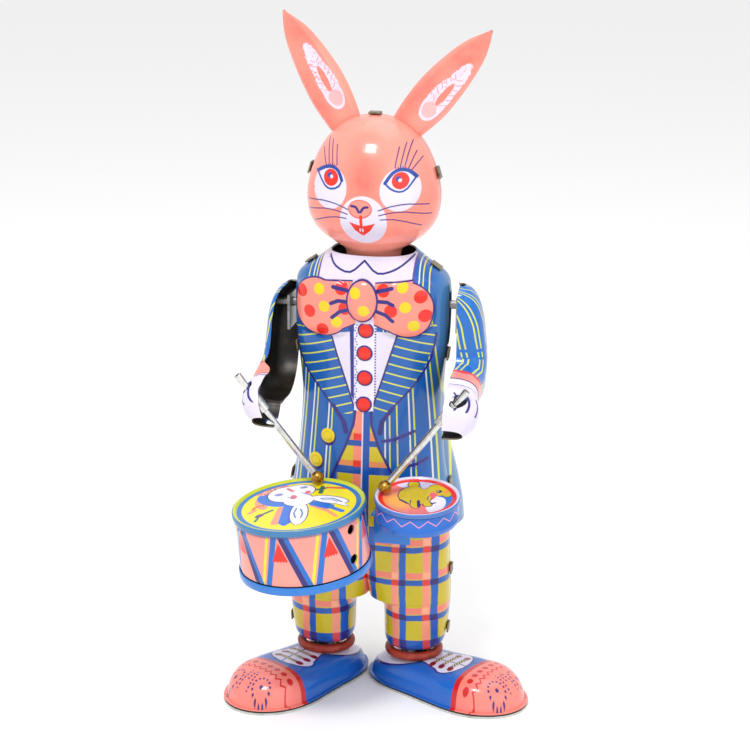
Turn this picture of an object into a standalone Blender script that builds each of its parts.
"""Wind-up drumming rabbit, pressed from printed tin.

The rabbit faces -Y, its left-hand side in a front view is -X, and it stands on z = 0.
Every size is in millimetres in the named values below and is turned into metres by MM.
"""
import bpy
import bmesh
import numpy as np
from math import cos, sin, pi, radians, sqrt, atan2
from mathutils import Matrix, Vector

MM = 0.001
GAP = 0.3             # clearance between pieces that meet
SHEET = 0.45          # tin sheet thickness

# Overall placing: the middle of the standing toy's plan box, moved onto the origin
CENTRE_X = 5.196
CENTRE_Y = -15.369

# Head
HEAD_ROWS = [(129.0, 7.4, 7.2), (134.0, 7.9, 7.7), (137.2, 8.6, 8.2), (139.2, 11.4, 9.8),
             (142.0, 15.2, 12.9), (145.2, 17.8, 15.6), (149.0, 19.2, 17.4), (154.0, 19.6, 17.9),
             (159.0, 18.8, 17.0), (163.5, 17.3, 15.6), (167.5, 15.4, 13.8), (171.0, 12.8, 11.4),
             (174.0, 9.2, 8.2), (175.9, 5.2, 4.8), (176.6, 0.0, 0.0)]
HEAD_TABS = [(-18.5, 160.2, 163.0), (18.5, 160.2, 17.0), (0.0, 176.5, 90.0)]
EAR_LENGTH = 36.1
EAR_HALF_WIDTH = 6.6
EAR_ROWS = [(0.0, 4.9, 5.4), (0.12, 5.6, 6.0), (0.24, 6.0, 6.3), (0.37, 5.9, 6.3), (0.51, 5.5, 5.8),
            (0.65, 4.8, 5.0), (0.76, 4.0, 4.1), (0.84, 3.1, 3.1), (0.92, 1.8, 1.7), (0.97, 0.8, 0.8),
            (0.997, 0.15, 0.2)]
EAR_LEAN_LEFT = -29.5
EAR_LEAN_RIGHT = 40.0
EAR_FOOT_X = 9.6
EAR_FOOT_Z = 173.4
NECK_PIVOT_Z = 124.0

# Coat, collar rim to tails
COAT_ROWS = [(54.5, 25.6, 13.6), (57.5, 25.3, 13.8), (61.5, 24.6, 13.8), (66.0, 23.8, 13.7),
             (72.0, 22.7, 13.4), (79.0, 21.9, 12.9), (87.0, 21.3, 12.4), (95.0, 21.2, 12.0),
             (103.0, 21.9, 12.0), (111.0, 22.9, 12.1), (119.0, 23.2, 12.2), (125.5, 23.1, 12.0),
             (128.8, 22.5, 11.6), (131.0, 20.6, 11.1), (133.4, 16.9, 10.6), (136.7, 12.5, 9.9)]
TAIL_ROWS = [(51.5, 25.8, 19.4, 4.6), (57.5, 25.3, 19.0, 4.5), (61.5, 24.6, 18.6, 4.4),
             (66.0, 23.8, 18.0, 4.2), (72.0, 22.7, 17.0, 3.7), (79.0, 21.9, 15.7, 2.7), (87.0, 21.3, 14.2, 1.6),
             (95.0, 21.2, 13.1, 0.8), (103.0, 21.9, 12.4, 0.2), (111.0, 22.9, 12.1, 0.0),
             (119.0, 23.2, 12.2, 0.0), (125.5, 23.1, 12.0, 0.0), (128.8, 22.5, 11.6, 0.0),
             (131.0, 20.6, 11.1, 0.0), (133.4, 16.9, 10.6, 0.0), (136.7, 12.5, 9.9, 0.0)]
COAT_TABS = [(-23.9, 65.4, 170.0), (23.9, 65.4, 10.0), (-22.3, 106.0, 187.0), (22.3, 106.0, -7.0),
             (-18.6, 132.3, 124.0), (18.6, 132.3, 56.0)]
ARM_SLOT_Z = (109.0, 125.0)

# Trousers: half width, inner edge of the leg, depth
TROUSER_ROWS = [(12.2, 20.9, 7.2, 6.6), (13.0, 22.4, 5.8, 7.8), (15.0, 23.5, 5.0, 8.8),
                (19.5, 24.2, 4.8, 9.6), (24.0, 24.6, 4.7, 10.2), (26.4, 24.8, 3.8, 10.5),
                (27.9, 24.9, 2.2, 10.6), (28.6, 24.9, 0.0, 10.7), (31.0, 24.9, 0.0, 10.9), (35.0, 24.8, 0.0, 11.2),
                (41.0, 24.5, 0.0, 11.4), (48.0, 24.2, 0.0, 11.6), (57.0, 23.4, 0.0, 11.6)]
TROUSER_TABS = [(-24.6, 37.8, 180.0), (24.6, 37.8, 0.0), (-24.0, 18.4, 184.0), (24.0, 18.4, -4.0)]
LEG_X = 13.9

# Feet
SHOE_LENGTH = 53.0
SHOE_WIDTH = 27.0
SHOE_SPOTS = [0.0, 6.0, 12.0, 20.0, 28.0, 36.0, 42.0, 47.0, 53.0]
SHOE_SHARES = [1.05, 1.02, 0.95, 0.88, 0.92, 1.04, 1.13, 1.18, 1.24]
SHOE_HEEL = 14.0      # heel to ankle centre
SHOE_TURN_LEFT = -31.0
SHOE_TURN_RIGHT = 64.0
SOLE_THICK = 0.7
ANKLE_HOLE_R = 4.4
ANKLE_POST_R = 3.2
RING_R = 7.6
RING_WIRE = 1.35
RING_Z = 10.4

# Arms
SHOULDER_Z = 121.0
SHOULDER_DROP_LEFT = 1.8
ARM_INNER_LEFT = 24.2
ARM_INNER_RIGHT = 25.2
ARM_SHORTEN_LEFT = 0.94
ARM_LIP_LEFT = 6.2           # how far the left sleeve's front wall stops short of its back wall
ARM_LIP_RIGHT = 0.8
SLEEVE_ROWS = 11             # rows of ARM_PATH above the wrist
ARM_PATH = [(0.0, 6.2, 2.2, 2.4), (0.0, 4.8, 4.8, 4.4), (0.0, 1.8, 6.2, 6.4),
            (0.2, -3.5, 6.6, 7.9), (0.5, -9.0, 6.6, 8.6), (0.5, -14.0, 6.7, 9.1),
            (-0.15, -17.25, 6.8, 9.3), (-1.99, -20.01, 6.8, 9.3), (-4.75, -21.85, 6.6, 9.4),
            (-8.0, -22.5, 6.2, 9.3), (-12.5, -22.6, 5.8, 9.2), (-17.0, -22.8, 5.6, 9.2),
            (-18.2, -23.0, 4.9, 8.8), (-20.8, -23.9, 5.8, 9.8), (-24.0, -25.9, 6.4, 10.4),
            (-27.0, -28.6, 5.6, 9.4), (-29.2, -30.9, 3.0, 6.4)]
SHAFT_R = 1.3
STICK_R = 1.05
SLEEVE_R = 1.75
BALL_R = 1.95
STICK_TOP_LEFT = (-35.2, -26.0, 103.1)
STICK_TOP_RIGHT = (32.4, -27.0, 103.0)
SLEEVE_SPAN = (0.14, 0.34)   # part of the stick gripped by the clip in the hand
PLATE_SPAN = (-7.5, 3.0)     # arm plate above and below the shoulder pin

# Drums: centre of the rim plane, forward tilt, sideways tilt
BIG_DRUM = {"centre": (-14.8, -35.6, 68.4), "forward": 4.0, "side": -5.5, "radius": 19.6, "height": 20.3}
SMALL_DRUM = {"centre": (19.1, -30.3, 71.7), "forward": 7.0, "side": 0.5, "radius": 12.5, "height": 7.8}
DRUM_SLOTS = ((-28.0, -4.4), (-28.0, -13.6))     # angle from +X, height below the rim
HEAD_DROP = 0.7       # drum skin below its rim
BALL_SPOT_LEFT = (2.6 / 19.6 * BIG_DRUM["radius"], 15.4 / 19.6 * BIG_DRUM["radius"])
BALL_SPOT_RIGHT = (-9.6 / 12.5 * SMALL_DRUM["radius"], 0.4 / 12.5 * SMALL_DRUM["radius"])

# Clockwork
PLATE_Y = 7.6
PLATE_THICK = 0.8
PLATE_X = 14.5
PLATE_Z = (71.0, 116.5)
MODULE = 0.7
ARBOR = (0.0, 86.0)
SECOND = (-7.0, 100.5)
CAM_SHAFT = (5.5, 106.8)
ESCAPE = (9.9, 96.5)
PALLET = (13.0, 91.9)
KEY_Y = (15.6, 24.4)

for old in list(bpy.data.objects):
    bpy.data.objects.remove(old)
PARTS = bpy.data.collections.new("drumming_rabbit")
CUTTERS = bpy.data.collections.new("cutters")
bpy.context.scene.collection.children.link(PARTS)
bpy.context.scene.collection.children.link(CUTTERS)


# ---------------------------------------------------------------- helpers

def material(name, colour, rough, metal):
    """A plain Principled material."""
    mat = bpy.data.materials.new(name)
    mat.use_nodes = True
    node = mat.node_tree.nodes["Principled BSDF"]
    node.inputs["Base Color"].default_value = (*colour, 1.0)
    node.inputs["Roughness"].default_value = rough
    node.inputs["Metallic"].default_value = metal
    return mat


def place(name, bm, mat=None, pivot=(0, 0, 0), cutter=False):
    """Make a named object from a bmesh in millimetres, its origin on the given pivot."""
    shift = Vector(pivot)
    mesh = bpy.data.meshes.new(name)
    for vert in bm.verts:
        vert.co = (vert.co - shift) * MM
    bm.to_mesh(mesh)
    bm.free()
    obj = bpy.data.objects.new(name, mesh)
    obj.location = shift * MM
    if cutter:
        CUTTERS.objects.link(obj)
        obj.hide_render = True
        obj.display_type = "WIRE"
    else:
        PARTS.objects.link(obj)
        mesh.materials.append(mat)
        for face in mesh.polygons:
            face.use_smooth = False
    return obj


def thicken(obj, thick=SHEET, even=True):
    """Sheet thickness, added inward from the drawn surface."""
    mod = obj.modifiers.new("sheet", "SOLIDIFY")
    mod.thickness = thick * MM
    mod.offset = -1.0
    mod.use_even_offset = even
    if even:
        mod.thickness_clamp = 1.0


def boolean(obj, other, operation):
    """Exact Boolean with a helper object."""
    mod = obj.modifiers.new(operation.lower(), "BOOLEAN")
    mod.operation = operation
    mod.solver = "EXACT"
    mod.object = other


def grid_mesh(points, closed_rows=False):
    """Quads over a list of rows of points."""
    bm = bmesh.new()
    rows = [[bm.verts.new(p) for p in row] for row in points]
    count = len(rows[0])
    last = count if closed_rows else count - 1
    for lower, upper in zip(rows, rows[1:]):
        for i in range(last):
            j = (i + 1) % count
            bm.faces.new((lower[i], lower[j], upper[j], upper[i]))
    bmesh.ops.remove_doubles(bm, verts=bm.verts, dist=1e-5)
    return bm


def face_outward(bm, centre):
    """Turn an open surface so that its normals point away from a line or point function."""
    bm.normal_update()
    total = 0.0
    for face in bm.faces:
        mid = face.calc_center_median()
        total += face.normal.dot(mid - Vector(centre(mid))) * face.calc_area()
    if total < 0:
        bmesh.ops.reverse_faces(bm, faces=bm.faces)
    return bm


def prism(outline, depth_vector):
    """Closed prism from a planar outline swept along a vector."""
    bm = bmesh.new()
    low = [bm.verts.new(p) for p in outline]
    high = [bm.verts.new(Vector(p) + Vector(depth_vector)) for p in outline]
    bm.faces.new(low)
    bm.faces.new(high)
    for i in range(len(low)):
        j = (i + 1) % len(low)
        bm.faces.new((low[i], low[j], high[j], high[i]))
    bmesh.ops.recalc_face_normals(bm, faces=bm.faces)
    return bm


def merge(meshes):
    """One bmesh holding several closed solids."""
    whole = bmesh.new()
    for bm in meshes:
        spare = bpy.data.meshes.new("spare")
        bm.to_mesh(spare)
        bm.free()
        whole.from_mesh(spare)
        bpy.data.meshes.remove(spare)
    return whole


def frame_matrix(origin, axis, up=(0, 0, 1)):
    """Matrix whose local Z runs along the axis."""
    z = Vector(axis).normalized()
    x = Vector(up).cross(z)
    if x.length < 1e-6:
        x = Vector((1, 0, 0))
    x.normalize()
    y = z.cross(x)
    mat = Matrix((x, y, z)).transposed().to_4x4()
    mat.translation = Vector(origin)
    return mat


def turned(profile, matrix, sides=24):
    """Closed solid of revolution about local Z; profile is (radius, z) pairs, bottom to top outside."""
    bm = bmesh.new()
    rings = []
    for radius, z in profile:
        if radius < 1e-6:
            rings.append([bm.verts.new(matrix @ Vector((0, 0, z)))])
            continue
        rings.append([bm.verts.new(matrix @ Vector((radius * cos(2 * pi * i / sides),
                                                    radius * sin(2 * pi * i / sides), z)))
                      for i in range(sides)])
    closed = profile[0][0] > 1e-6
    pairs = list(zip(rings, rings[1:]))
    if closed:
        pairs.append((rings[-1], rings[0]))
    for low, high in pairs:
        for i in range(sides):
            j = (i + 1) % sides
            if len(low) == 1:
                bm.faces.new((low[0], high[j], high[i]))
            elif len(high) == 1:
                bm.faces.new((low[i], low[j], high[0]))
            else:
                bm.faces.new((low[i], low[j], high[j], high[i]))
    bmesh.ops.recalc_face_normals(bm, faces=bm.faces)
    return bm


def rod(start, end, radius, sides=12):
    """Plain round bar between two points."""
    a = Vector(start)
    b = Vector(end)
    length = (b - a).length
    profile = [(0, 0), (radius, 0), (radius, length), (0, length)]
    return turned(profile, frame_matrix(a, b - a), sides)


def tube(start, end, inner, outer, sides=12):
    """Hollow round bar between two points."""
    a = Vector(start)
    b = Vector(end)
    length = (b - a).length
    profile = [(outer, 0), (outer, length), (inner, length), (inner, 0)]
    return turned(profile, frame_matrix(a, b - a), sides)


def block(low, high):
    """Closed box between two corners."""
    x0, y0, z0 = low
    x1, y1, z1 = high
    outline = [(x0, y0, z0), (x1, y0, z0), (x1, y1, z0), (x0, y1, z0)]
    return prism(outline, (0, 0, z1 - z0))


def tab_block(x, z, angle, width=3.6):
    """Folded tab on the seam: rooted in the back pressing and bent over the front one."""
    out = Vector((cos(radians(angle)), 0, sin(radians(angle))))
    along = Vector((-out.z, 0, out.x))
    base = Vector((x, 0, z)) - along * width / 2
    section = [(-0.3, 0.5), (-0.3, 1.5), (0.85, 1.5), (0.85, -1.9), (0.35, -1.9), (0.35, 0.5)]
    outline = [base + out * n + Vector((0, y, 0)) for n, y in section]
    return prism(outline, along * width)


# ---------------------------------------------------------------- materials

SKIN = material("skin_pink", (0.89, 0.29, 0.24), 0.24, 0.1)
EAR_PINK = material("ear_pink", (0.89, 0.30, 0.25), 0.26, 0.1)
COAT_BLUE = material("coat_blue", (0.03, 0.17, 0.42), 0.25, 0.2)
PLAID = material("plaid_yellow", (0.66, 0.50, 0.06), 0.25, 0.2)
SHOE_BLUE = material("shoe_blue", (0.04, 0.20, 0.50), 0.25, 0.2)
SOLE_TIN = material("sole_tin", (0.50, 0.49, 0.46), 0.35, 0.9)
RING_RED = material("ankle_red_brown", (0.50, 0.07, 0.03), 0.4, 0.0)
SLEEVE_BLUE = material("sleeve_blue", (0.03, 0.20, 0.48), 0.25, 0.2)
STEEL = material("stick_steel", (0.62, 0.62, 0.62), 0.22, 1.0)
BALL_BRASS = material("ball_brass", (0.55, 0.38, 0.14), 0.3, 1.0)
DRUM_PINK = material("drum_pink", (0.86, 0.30, 0.32), 0.25, 0.1)
DRUM_YELLOW = material("drum_yellow", (0.85, 0.72, 0.03), 0.25, 0.1)
DRUM_BLUE = material("drum_blue", (0.03, 0.23, 0.52), 0.25, 0.1)
CLOCK_BRASS = material("clock_brass", (0.60, 0.43, 0.17), 0.35, 1.0)
CLOCK_STEEL = material("clock_steel", (0.45, 0.45, 0.46), 0.35, 1.0)
SPRING_STEEL = material("spring_steel", (0.16, 0.17, 0.21), 0.3, 1.0)


# ---------------------------------------------------------------- head and ears

def half_section(z, half_width, depth, side, sides=16, power=2.15, flare=0.0):
    """Row of points round one half of a body, from -X to +X; flare widens it behind the seam."""
    row = []
    for i in range(sides + 1):
        angle = pi * i / sides
        c = -cos(angle)
        s = sin(angle)
        share = max(s, 0.0) ** (2 / power)
        spread = flare * min(share / 0.7, (1 - share) / 0.3)
        x = np.sign(c) * (half_width * abs(c) ** (2 / power) + spread)
        y = side * (GAP / 2 + depth * share)
        row.append((float(x), float(y), z))
    return row


def half_shell(name, rows, side, mat, pivot=(0, 0, 0), sides=16, power=2.15):
    """One pressing of a two-part hollow body."""
    bm = grid_mesh([half_section(z, w, d, side, sides, power, *flare) for z, w, d, *flare in rows])
    face_outward(bm, lambda p: (0, 0, p.z))
    obj = place(name, bm, mat, pivot)
    thicken(obj)
    return obj


def make_head():
    """Face pressing, back pressing with its folded tabs, and the neck spindle."""
    pivot = (0, 0, NECK_PIVOT_Z)
    half_shell("head_front", HEAD_ROWS, -1, SKIN, pivot)
    back_rows = [(z, w, d * 0.93) for z, w, d in HEAD_ROWS]
    back = half_shell("head_back", back_rows, 1, SKIN, pivot)
    tabs = merge([tab_block(*spot) for spot in HEAD_TABS])
    boolean(back, place("head_tabs", tabs, cutter=True), "UNION")
    spindle = [(0, 123.7), (2.0, 123.7), (2.0, 129.2), (6.4, 129.6), (6.4, 130.4), (2.0, 130.8),
               (2.0, 150.0), (0, 150.0)]
    place("neck_spindle", turned(spindle, Matrix(), 16), CLOCK_STEEL, pivot)


def make_ear(name, lean, side):
    """Dished leaf with a rolled rim, its tip curling outward."""
    foot = Vector((side * EAR_FOOT_X, 0.4, EAR_FOOT_Z))
    up = Vector((sin(radians(lean)), 0, cos(radians(lean))))
    inward = Vector((up.z, 0, -up.x)) * -side
    rows = []
    for t, outer, inner in EAR_ROWS:
        middle = (inner - outer) / 2
        half = (inner + outer) / 2
        scale = half / EAR_HALF_WIDTH
        row = []
        for u in (-1.0, -0.92, -0.76, -0.5, 0.0, 0.5, 0.76, 0.92, 1.0):
            rim = 2.6 * max(0.0, (abs(u) - 0.66) / 0.34) ** 2.2
            dish = 1.0 * (1 - min(1.0, abs(u) / 0.7) ** 2)
            depth = (rim + dish) * scale + 1.0 * t
            row.append(foot + up * (0.6 + EAR_LENGTH * t) + inward * (middle + u * half) + Vector((0, depth, 0)))
        rows.append(row)
    bm = grid_mesh(rows)
    face_outward(bm, lambda p: (p.x, 40.0, p.z))
    obj = place(name, bm, EAR_PINK, (0, 0, NECK_PIVOT_Z))
    thicken(obj, 0.5, even=False)


# ---------------------------------------------------------------- coat and trousers

def slot_block(side):
    """Opening in the coat's flank for the arm shaft."""
    return block((side * 23.0 - 4.0, -2.1, ARM_SLOT_Z[0]), (side * 23.0 + 4.0, 2.1, ARM_SLOT_Z[1]))


def key_hole():
    """Clearance hole for the winding arbor in the coat's back."""
    return rod((ARBOR[0], 6.0, ARBOR[1]), (ARBOR[0], 20.0, ARBOR[1]), 2.4, 16)


def make_coat():
    """Front and back pressings of the tail coat."""
    front = half_shell("coat_front", COAT_ROWS, -1, COAT_BLUE, sides=18, power=2.35)
    back = half_shell("coat_back", TAIL_ROWS, 1, COAT_BLUE, sides=18, power=2.6)
    slots = place("arm_slots", merge([slot_block(-1), slot_block(1)]), cutter=True)
    boolean(front, slots, "DIFFERENCE")
    boolean(back, slots, "DIFFERENCE")
    boolean(back, place("arbor_hole", key_hole(), cutter=True), "DIFFERENCE")
    tabs = merge([tab_block(*spot) for spot in COAT_TABS])
    boolean(back, place("coat_tabs", tabs, cutter=True), "UNION")


def trouser_row(z, outer, inner, depth, side):
    """Half row of the trousers, from the inner edge of the leg to the outside seam."""
    split = min(1.0, max(0.0, (46.0 - z) / 17.4))
    row = []
    for u in (0.0, 0.06, 0.15, 0.3, 0.5, 0.7, 0.85, 0.95, 1.0):
        x = inner + (outer - inner) * u
        fall = (1 - max(0.0, (u - 0.35) / 0.65) ** 2.5) ** 0.45
        rise = 1.0
        if u < 0.5:
            rise = 1 - split ** 1.6 * (1 - (1 - (1 - u / 0.5) ** 2.3) ** 0.45)
        if inner == 0.0:
            rise = max(rise, 0.12)
        row.append((x, side * (GAP / 2 + depth * fall * rise), z))
    return row


def half_trousers(name, side):
    """One pressing of both trouser legs, mirrored about the middle."""
    bm = grid_mesh([trouser_row(*values, side) for values in TROUSER_ROWS])
    face_outward(bm, lambda p: (LEG_X if p.z < 28 else 4.0, 0, p.z))
    obj = place(name, bm, PLAID)
    mirror = obj.modifiers.new("both_legs", "MIRROR")
    mirror.use_axis = (True, False, False)
    mirror.merge_threshold = 0.00001
    thicken(obj)
    return obj


def make_trousers():
    """Front and back pressings of the trousers."""
    half_trousers("trousers_front", -1)
    back = half_trousers("trousers_back", 1)
    tabs = merge([tab_block(*spot, 3.0) for spot in TROUSER_TABS])
    boolean(back, place("trouser_tabs", tabs, cutter=True), "UNION")


# ---------------------------------------------------------------- feet

def shoe_outline(grow, sides=32):
    """Waisted plan outline, heel at s = 0, as (s, t) pairs."""
    points = []
    for i in range(sides):
        angle = 2 * pi * i / sides
        s = SHOE_LENGTH / 2 * (1 - cos(angle)) - grow * cos(angle)
        t = (SHOE_WIDTH / 2 * float(np.interp(s, SHOE_SPOTS, SHOE_SHARES)) + grow) * sin(angle)
        points.append((s, t))
    return points


def shoe_height(s):
    """Height of the upper above the flange along the middle of the shoe."""
    spots = [0.0, 4.0, 9.0, 14.0, 20.0, 28.0, 36.0, 43.0, 48.0, 53.0]
    tops = [6.4, 7.2, 7.4, 7.4, 7.5, 7.7, 8.1, 9.0, 9.1, 8.4]
    return float(np.interp(s, spots, tops))


def shoe_frame(side):
    """Matrix from shoe coordinates (s forward from heel, t across, z) to the toy."""
    turn = radians(SHOE_TURN_LEFT if side < 0 else SHOE_TURN_RIGHT)
    forward = Vector((sin(turn), -cos(turn), 0))
    across = Vector((cos(turn), sin(turn), 0))
    mat = Matrix((forward, across, Vector((0, 0, 1)))).transposed().to_4x4()
    mat.translation = Vector((side * LEG_X, 0, 0)) - forward * SHOE_HEEL
    return mat


def make_shoe(word, side):
    """Domed upper with a flange, flat sole plate, ankle collar and ankle post."""
    mat = shoe_frame(side)
    flange = SOLE_THICK + GAP + SHEET
    middle = SHOE_LENGTH / 2
    rows = [[mat @ Vector((s, t, flange)) for s, t in shoe_outline(1.1)],
            [mat @ Vector((s, t, flange)) for s, t in shoe_outline(0.0)]]
    for r in (0.985, 0.94, 0.86, 0.72, 0.52, 0.28, 0.0):
        row = []
        for s, t in shoe_outline(0.0):
            p = middle + (s - middle) * r
            row.append(mat @ Vector((p, t * r, flange + shoe_height(p) * (1 - r ** 4.2) ** 0.42)))
        rows.append(row)
    bm = grid_mesh(rows, closed_rows=True)
    face_outward(bm, lambda p: (p.x, p.y, -50.0))
    upper = place("shoe_" + word, bm, SHOE_BLUE)
    thicken(upper)
    x = side * LEG_X
    hole = rod((x, 0, 5.0), (x, 0, 14.0), ANKLE_HOLE_R, 24)
    boolean(upper, place("ankle_hole_" + word, hole, cutter=True), "DIFFERENCE")
    outline = [mat @ Vector((s, t, 0)) for s, t in shoe_outline(1.2)]
    place("sole_" + word, prism(outline, (0, 0, SOLE_THICK)), SOLE_TIN)
    base = Matrix.Translation((x, 0, 0))
    ring = [(RING_R + RING_WIRE * cos(a), RING_Z + RING_WIRE * sin(a)) for a in np.linspace(0, 2 * pi, 7)[:-1]]
    place("ankle_ring_" + word, turned(ring, base, 24), RING_RED)
    post = [(0, 1.0), (7.0, 1.0), (7.0, 1.8), (ANKLE_POST_R, 1.8), (ANKLE_POST_R, 30.0), (0, 30.0)]
    place("ankle_post_" + word, turned(post, base, 16), CLOCK_STEEL)


# ---------------------------------------------------------------- arms, sticks and drums

def drum_frame(drum):
    """Matrix of a drum: origin at the rim plane's centre, local Z out of the skin."""
    tilt = Matrix.Rotation(radians(drum["side"]), 4, "Y") @ Matrix.Rotation(radians(drum["forward"]), 4, "X")
    return Matrix.Translation(drum["centre"]) @ tilt


def ball_centre(drum, spot):
    """Resting place of a stick's ball on a drum skin."""
    return drum_frame(drum) @ Vector((spot[0], spot[1], BALL_R + GAP - HEAD_DROP))


def arm_base(side):
    """Inner edge and shoulder height of one arm."""
    if side < 0:
        return ARM_INNER_LEFT, SHOULDER_Z - SHOULDER_DROP_LEFT
    return ARM_INNER_RIGHT, SHOULDER_Z


def arm_path(side):
    """Centre line of one arm, as (y, z, half thickness, width) from the shoulder."""
    if side > 0:
        return ARM_PATH
    return [(y, z * (ARM_SHORTEN_LEFT if z < 0 else 1.0), half, width - 0.5) for y, z, half, width in ARM_PATH]


def arm_rows(side, sides=10, power=2.7):
    """U-shaped sections along the arm, open towards the body."""
    inner, height = arm_base(side)
    path = arm_path(side)
    lip = ARM_LIP_LEFT if side < 0 else ARM_LIP_RIGHT
    rows = []
    last = len(path) - 1
    for k, (y, z, half, width) in enumerate(path):
        before = path[max(0, k - 1)]
        after = path[min(last, k + 1)]
        edge = min(lip, (0.7 if k < SLEEVE_ROWS else 0.4) * width)
        along = Vector((0, after[0] - before[0], after[1] - before[1])).normalized()
        across = Vector((0, -along.z, along.y))
        row = []
        for i in range(sides + 1):
            angle = pi * i / sides
            c = cos(angle)
            reach = half * float(np.sign(c)) * abs(c) ** (2 / power)
            start = edge * max(0.0, -c) ** 0.5
            out = inner + start + (width - start) * max(0.0, sin(angle)) ** (2 / power)
            row.append(Vector((side * out, y, height + z)) + across * reach)
        rows.append(row)
    return rows


def arm_middle(p, side):
    """Nearest point of the arm's hollow middle line."""
    inner, height = arm_base(side)
    best = min(arm_path(side), key=lambda q: (q[0] - p.y) ** 2 + (height + q[1] - p.z) ** 2)
    return (side * (inner - 1.0), best[0], height + best[1])


def make_arm(word, side, top, drum, spot):
    """Sleeve-and-hand pressing, its plate, shaft and crank, and the drumstick."""
    inner, height = arm_base(side)
    pivot = (side * inner, 0, height)
    ball = ball_centre(drum, spot)
    start = Vector(top)
    run = ball - start
    bm = grid_mesh(arm_rows(side))
    face_outward(bm, lambda p: arm_middle(p, side))
    arm = place("arm_" + word, bm, SLEEVE_BLUE, pivot)
    thicken(arm)
    slot = rod(start - run * 0.05, start + run * 0.55, SLEEVE_R + 0.35, 14)
    boolean(arm, place("stick_slot_" + word, slot, cutter=True), "DIFFERENCE")
    low, high = SLEEVE_SPAN
    clip = tube(start + run * low, start + run * high, STICK_R + GAP, SLEEVE_R, 12)
    place("stick_clip_" + word, clip, STEEL, pivot)
    unit = run.normalized()
    end = ball - unit * (BALL_R + GAP)
    place("stick_rod_" + word, rod(start, end, STICK_R, 12), STEEL, pivot)
    sphere = [(0, -BALL_R)] + [(BALL_R * cos(a), BALL_R * sin(a)) for a in np.linspace(-1.2, 1.2, 7)]
    sphere.append((0, BALL_R))
    place("stick_ball_" + word, turned(sphere, Matrix.Translation(ball), 14), BALL_BRASS, pivot)
    inner_end = 9.5 if side > 0 else -2.0
    shaft = rod((side * (inner + 5.0), 0, height), (inner_end, 0, height), SHAFT_R, 12)
    place("arm_shaft_" + word, shaft, CLOCK_STEEL, pivot)
    make_arm_plate(word, side, pivot)
    make_crank(word, inner_end - side * 0.3, pivot)
    make_arm_spring(word, side, pivot)


def make_arm_plate(word, side, pivot):
    """Flat plate across the sleeve's open side that carries the shoulder pin."""
    x, y, z = pivot
    near = min(x + side * 0.2, x + side * 0.9)
    low, high = PLATE_SPAN
    plate = place("arm_plate_" + word, block((near, -4.8, z + low), (near + 0.7, 4.8, z + high)), CLOCK_STEEL, pivot)
    hole = rod((x - 3, 0, z), (x + 3, 0, z), SHAFT_R + GAP, 12)
    boolean(plate, place("plate_bore_" + word, hole, cutter=True), "DIFFERENCE")


def make_crank(word, x, pivot):
    """Bent finger on the shaft's inner end that the cam lifts."""
    z = pivot[2]
    shape = [(-1.8, z - 1.6), (1.8, z - 1.6), (1.8, z + 1.6), (-5.2, z + 1.6), (-5.2, z - 2.4), (-3.2, z - 2.4)]
    thick = 1.0
    if x > 0:
        low = x - thick
    else:
        low = x
    outline = [(low, y, z) for y, z in shape]
    place("arm_crank_" + word, prism(outline, (thick, 0, 0)), CLOCK_STEEL, pivot)


def make_arm_spring(word, side, pivot):
    """Coil round the shaft that brings the stick back to the drum."""
    turns = 4
    steps = 10 * turns
    rows = []
    for k in range(steps + 1):
        angle = 2 * pi * k / 10
        x = side * (13.5 + 1.5 * k / 10)
        mid = Vector((x, 2.3 * cos(angle), pivot[2] + 2.3 * sin(angle)))
        out = Vector((0, cos(angle), sin(angle)))
        row = [mid + out * (0.4 * cos(a)) + Vector((0.4 * sin(a), 0, 0)) for a in np.linspace(0, 2 * pi, 5)[:-1]]
        rows.append(row)
    bm = grid_mesh(rows, closed_rows=True)
    bmesh.ops.holes_fill(bm, edges=[e for e in bm.edges if e.is_boundary], sides=0)
    bmesh.ops.recalc_face_normals(bm, faces=bm.faces)
    place("arm_spring_" + word, bm, SPRING_STEEL, pivot)


def make_big_drum():
    """Wall, base hoop, skin and strap of the big drum."""
    mat = drum_frame(BIG_DRUM)
    r = BIG_DRUM["radius"]
    h = BIG_DRUM["height"]
    wall = [(r - 1.0, -h + 2.9), (r - 0.55, -h + 2.9), (r - 0.55, -2.0), (r - 1.0, -2.0)]
    shell = place("big_drum_wall", turned(wall, mat, 40), DRUM_PINK)
    slots = [slot_through(mat, r, angle, z) for angle, z in DRUM_SLOTS]
    boolean(shell, place("drum_wall_slots", merge(slots), cutter=True), "DIFFERENCE")
    skin = [(0, -HEAD_DROP - 0.5), (r - 0.5, -HEAD_DROP - 0.5), (r - 0.5, -1.9), (r, -1.9), (r, -0.2),
            (r - 0.5, 0.0), (r - 1.1, -0.25), (r - 1.4, -HEAD_DROP), (0, -HEAD_DROP)]
    place("big_drum_skin", turned(skin, mat, 40), DRUM_YELLOW)
    base = [(0, -h), (r - 0.4, -h), (r, -h + 0.4), (r, -h + 2.6), (r - 0.4, -h + 2.6), (r - 0.5, -h + 0.5),
            (0, -h + 0.5)]
    place("big_drum_base", turned(base, mat, 40), DRUM_BLUE)
    strap = block((-18.2, -14.9, 55.6), (-8.0, -14.3, 64.5))
    place("big_drum_strap", strap, CLOCK_STEEL)


def slot_through(mat, radius, angle, z):
    """Upright cutter for an oblong slot in the drum wall."""
    a = radians(angle)
    radial = Vector((cos(a), sin(a), 0))
    along = Vector((-sin(a), cos(a), 0))
    corners = [radial * (radius - 3) + along * u + Vector((0, 0, z + w))
               for u, w in ((-1.5, -1.4), (1.5, -1.4), (1.5, 1.4), (-1.5, 1.4))]
    return prism([mat @ c for c in corners], mat.to_3x3() @ (radial * 5))


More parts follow.
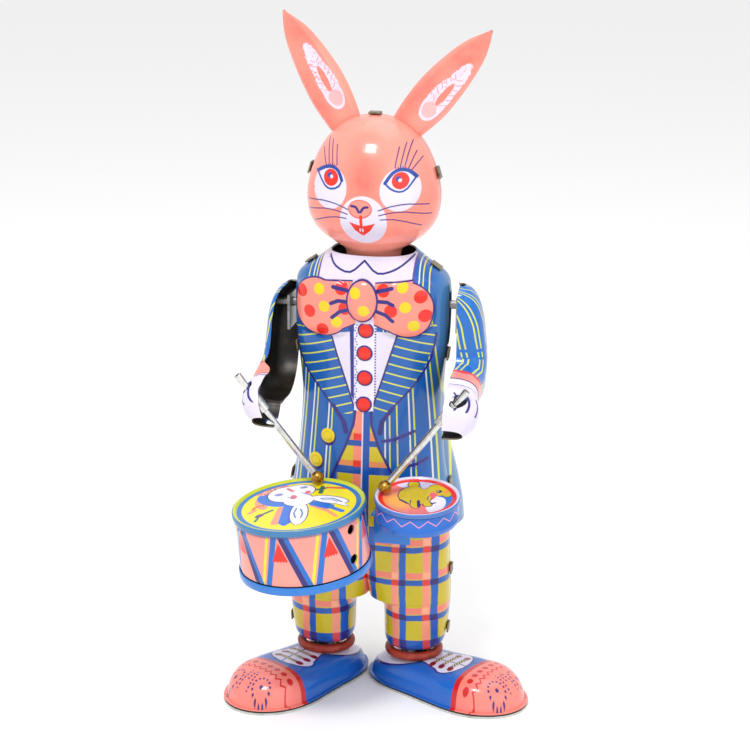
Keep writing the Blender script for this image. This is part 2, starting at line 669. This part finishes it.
def make_small_drum():
    """Cup, skin and strap of the small drum."""
    mat = drum_frame(SMALL_DRUM)
    r = SMALL_DRUM["radius"]
    h = SMALL_DRUM["height"]
    cup = [(0, -h), (r - 0.9, -h), (r - 0.4, -h + 0.5), (r - 0.4, -1.7), (r - 0.85, -1.7),
           (r - 0.85, -h + 0.6), (0, -h + 0.5)]
    place("small_drum_cup", turned(cup, mat, 32), DRUM_BLUE)
    skin = [(0, -HEAD_DROP - 0.5), (r - 0.4, -HEAD_DROP - 0.5), (r - 0.4, -1.4), (r, -1.4), (r, -0.2),
            (r - 0.5, 0.0), (r - 1.0, -0.2), (r - 1.3, -HEAD_DROP), (0, -HEAD_DROP)]
    place("small_drum_skin", turned(skin, mat, 32), DRUM_YELLOW)
    side = [(-14.3, 61.4), (-24.0, 62.4), (-24.0, 61.8), (-18.7, 61.2), (-18.7, 51.4), (-18.1, 51.4), (-18.1, 60.8),
            (-14.3, 60.8)]
    strap = prism([(4.2, y, z) for y, z in side], (11.0, 0, 0))
    place("small_drum_strap", strap, DRUM_BLUE)


# ---------------------------------------------------------------- clockwork

def toothed(centre, teeth, y0, y1, phase=0.0, module=MODULE):
    """Toothed wheel on a shaft along Y; phase turns it by that share of a tooth."""
    pitch = module * teeth / 2
    tip = pitch + 0.42
    root = pitch - 0.72
    step = 2 * pi / teeth
    outline = []
    for k in range(teeth):
        mid = (k + phase) * step
        for radius, share in ((root, -0.24), (tip, -0.11), (tip, 0.11), (root, 0.24)):
            a = mid + share * step
            outline.append((centre[0] + radius * cos(a), y0, centre[1] + radius * sin(a)))
    return prism(outline, (0, y1 - y0, 0))


def wheel_node(name, pieces, centre, mat):
    """One rigid wheel made of wheel, pinion and shaft."""
    pivot = (centre[0], 0, centre[1])
    obj = place(name, pieces[0], mat, pivot)
    for k, piece in enumerate(pieces[1:]):
        boolean(obj, place(name + "_add_%d" % k, piece, cutter=True), "UNION")
    return obj


def axle(centre, radius, y0=-PLATE_Y + GAP, y1=PLATE_Y - GAP):
    """Shaft between the two plates."""
    return rod((centre[0], y0, centre[1]), (centre[0], y1, centre[1]), radius, 10)


def make_plates():
    """Motor plates and the pillars that hold them apart."""
    for word, y in (("front", -PLATE_Y - PLATE_THICK), ("back", PLATE_Y)):
        plate = block((-PLATE_X, y, PLATE_Z[0]), (PLATE_X, y + PLATE_THICK, PLATE_Z[1]))
        obj = place("motor_plate_" + word, plate, CLOCK_STEEL)
        if word == "back":
            hole = rod((ARBOR[0], 4, ARBOR[1]), (ARBOR[0], 12, ARBOR[1]), 2.1, 12)
            boolean(obj, place("plate_hole", hole, cutter=True), "DIFFERENCE")
    spots = [(-12.6, 73.0), (12.6, 73.0), (-12.6, 114.6), (12.6, 114.6)]
    for k, (x, z) in enumerate(spots):
        post = rod((x, -PLATE_Y + GAP, z), (x, PLATE_Y - GAP, z), 1.3, 8)
        place("motor_pillar_%d" % (k + 1), post, CLOCK_STEEL)


def make_mainspring():
    """Coiled strip round the arbor."""
    turns = 3.5
    steps = int(14 * turns)
    rows = []
    for k in range(steps + 1):
        a = 2 * pi * k / 14
        r = 3.4 + 6.2 * k / steps
        row = []
        for dr, y in ((0, -3.6), (0.5, -3.6), (0.5, 2.9), (0, 2.9)):
            row.append((ARBOR[0] + (r + dr) * cos(a), y, ARBOR[1] + (r + dr) * sin(a)))
        rows.append(row)
    bm = grid_mesh(rows, closed_rows=True)
    bmesh.ops.holes_fill(bm, edges=[e for e in bm.edges if e.is_boundary], sides=0)
    bmesh.ops.recalc_face_normals(bm, faces=bm.faces)
    place("mainspring", bm, SPRING_STEEL, (ARBOR[0], 0, ARBOR[1]))


def mesh_phase(from_centre, to_centre, teeth_from, teeth_to):
    """Phases that put a tooth of the first wheel into a gap of the second."""
    a = atan2(to_centre[1] - from_centre[1], to_centre[0] - from_centre[0])
    first = a / (2 * pi / teeth_from)
    second = (a + pi) / (2 * pi / teeth_to) + 0.5
    return first, second


def make_train():
    """Great wheel, second wheel, cam wheel, escape wheel and pallet."""
    pair_a = mesh_phase(ARBOR, SECOND, 36, 10)
    pair_b = mesh_phase(SECOND, CAM_SHAFT, 30, 10)
    pair_c = mesh_phase(CAM_SHAFT, ESCAPE, 24, 8)
    great = toothed(ARBOR, 36, -6.2, -5.0, pair_a[0])
    arbor = rod((ARBOR[0], -PLATE_Y + GAP, ARBOR[1]), (ARBOR[0], 21.0, ARBOR[1]), 1.8, 12)
    wheel_node("great_wheel", [great, arbor], ARBOR, CLOCK_BRASS)
    second = [toothed(SECOND, 30, 4.4, 5.4, pair_b[0]), toothed(SECOND, 10, -6.5, -4.7, pair_a[1]),
              axle(SECOND, 1.2)]
    wheel_node("second_wheel", second, SECOND, CLOCK_BRASS)
    lobes = lobed_cam(CAM_SHAFT, 6.6, 8.9, -4.5, -3.7)
    cam = [toothed(CAM_SHAFT, 24, -3.0, -2.0, pair_c[0]), toothed(CAM_SHAFT, 10, 4.1, 5.7, pair_b[1]),
           axle(CAM_SHAFT, 1.2), lobes]
    wheel_node("cam_wheel", cam, CAM_SHAFT, CLOCK_BRASS)
    escape = [toothed(ESCAPE, 11, 4.0, 4.8, 0.0), toothed(ESCAPE, 8, -3.3, -1.7, pair_c[1]), axle(ESCAPE, 0.9)]
    wheel_node("escape_wheel", escape, ESCAPE, CLOCK_BRASS)
    anchor = block((PALLET[0] - 2.6, 6.1, PALLET[1] - 0.8), (PALLET[0] + 1.2, 6.8, PALLET[1] + 0.9))
    wheel_node("pallet", [axle(PALLET, 0.8), anchor], PALLET, CLOCK_STEEL)


def lobed_cam(centre, low, high, y0, y1):
    """Three-lobed plate cam."""
    outline = []
    for k in range(24):
        a = 2 * pi * k / 24
        radius = low + (high - low) * (0.5 + 0.5 * cos(3 * a)) ** 2
        outline.append((centre[0] + radius * cos(a), y0, centre[1] + radius * sin(a)))
    return prism(outline, (0, y1 - y0, 0))


def make_key():
    """Two-winged winding key with a tubular shank on the arbor's outer end."""
    pivot = (ARBOR[0], 0, ARBOR[1])
    shank = rod((ARBOR[0], KEY_Y[0], ARBOR[1]), (ARBOR[0], KEY_Y[1], ARBOR[1]), 3.0, 16)
    key = place("winding_key", shank, CLOCK_STEEL, pivot)
    wings = []
    for side in (-1, 1):
        outline = []
        for k in range(14):
            a = 2 * pi * k / 14
            outline.append((ARBOR[0] - 0.6, 20.2 + 3.9 * cos(a), ARBOR[1] + side * (7.2 + 5.4 * sin(a))))
        wings.append(prism(outline, (1.2, 0, 0)))
    for k, wing in enumerate(wings):
        boolean(key, place("key_wing_%d" % k, wing, cutter=True), "UNION")
    bore = rod((ARBOR[0], KEY_Y[0] - 2, ARBOR[1]), (ARBOR[0], 21.4, ARBOR[1]), 2.1, 12)
    boolean(key, place("key_bore", bore, cutter=True), "DIFFERENCE")


make_head()
make_ear("ear_left", EAR_LEAN_LEFT, -1)
make_ear("ear_right", EAR_LEAN_RIGHT, 1)
make_coat()
make_trousers()
make_shoe("left", -1)
make_shoe("right", 1)
make_arm("left", -1, STICK_TOP_LEFT, BIG_DRUM, BALL_SPOT_LEFT)
make_arm("right", 1, STICK_TOP_RIGHT, SMALL_DRUM, BALL_SPOT_RIGHT)
make_big_drum()
make_small_drum()
make_plates()
make_mainspring()
make_train()
make_key()

for item in list(PARTS.objects) + list(CUTTERS.objects):
    item.location.x -= CENTRE_X * MM
    item.location.y -= CENTRE_Y * MM
